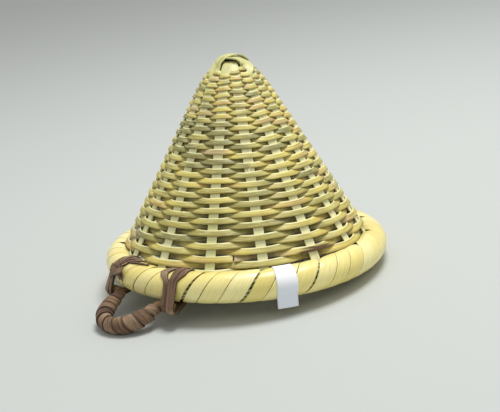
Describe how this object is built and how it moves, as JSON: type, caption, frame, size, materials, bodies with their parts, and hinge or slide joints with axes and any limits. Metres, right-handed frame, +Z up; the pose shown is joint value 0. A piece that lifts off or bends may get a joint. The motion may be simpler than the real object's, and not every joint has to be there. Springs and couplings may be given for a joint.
{
  "type": "bamboo basket",
  "caption": "Conical woven split-bamboo basket or cover standing on its mouth, with a thick bound rim, a bark-wrapped hanging loop lashed under it and a blank paper tab.",
  "frame": {"origin": "on the surface that the basket stands on, under the middle of its bounding box", "axes": "+Z up from the surface; -Y is the front, where the paper tab hangs; the hanging loop points to the front left, between -X and -Y"},
  "size_m": [0.2528, 0.2508, 0.1958],
  "materials": {
    "stake_bamboo": "pale split bamboo, satin",
    "weaver_bamboo": "weathered split bamboo, some strips green, some ochre, satin",
    "hoop_bamboo": "green-skinned bamboo, satin",
    "binding_bamboo": "smooth yellow bamboo peel, semi-gloss",
    "bark": "dry brown bark strip, matt",
    "cane": "bare cane, matt",
    "paper": "blank white paper"
  },
  "bodies": {
    "basket": {"rim_outer_hoop": "hoop_bamboo", "rim_inner_hoop": "hoop_bamboo", "rim_binding_1": "binding_bamboo", "rim_binding_2": "binding_bamboo", "rim_binding_3": "binding_bamboo", "single_stake_1": "stake_bamboo", "single_stake_2": "stake_bamboo", "single_stake_3": "stake_bamboo", "single_stake_4": "stake_bamboo", "single_stake_5": "stake_bamboo", "single_stake_6": "stake_bamboo", "single_stake_7": "stake_bamboo", "crossing_stake_1": "stake_bamboo", "crossing_stake_2": "stake_bamboo", "crossing_stake_3": "stake_bamboo", "crossing_stake_4": "stake_bamboo", "weaver_01": "weaver_bamboo", "weaver_02": "weaver_bamboo", "weaver_03": "weaver_bamboo", "weaver_04": "weaver_bamboo", "weaver_05": "weaver_bamboo", "weaver_06": "weaver_bamboo", "weaver_07": "weaver_bamboo", "weaver_08": "weaver_bamboo", "weaver_09": "weaver_bamboo", "weaver_10": "weaver_bamboo", "weaver_11": "weaver_bamboo", "weaver_12": "weaver_bamboo", "weaver_13": "weaver_bamboo", "weaver_14": "weaver_bamboo", "left_lashing_1": "bark", "left_lashing_2": "bark", "right_lashing_1": "bark", "right_lashing_2": "bark", "paper_tab": "paper"},
    "hanging_loop": {"loop_core": "cane", "loop_wrap": "bark"}
  },
  "joints": [
    {"name": "loop_swing", "type": "hinge", "parent": "basket", "child": "hanging_loop", "pos_m": [-0.08933, -0.08131, 0.01773], "axis": [-0.6691, 0.7431, 0], "range_deg": [-95, 60]}
  ]
}
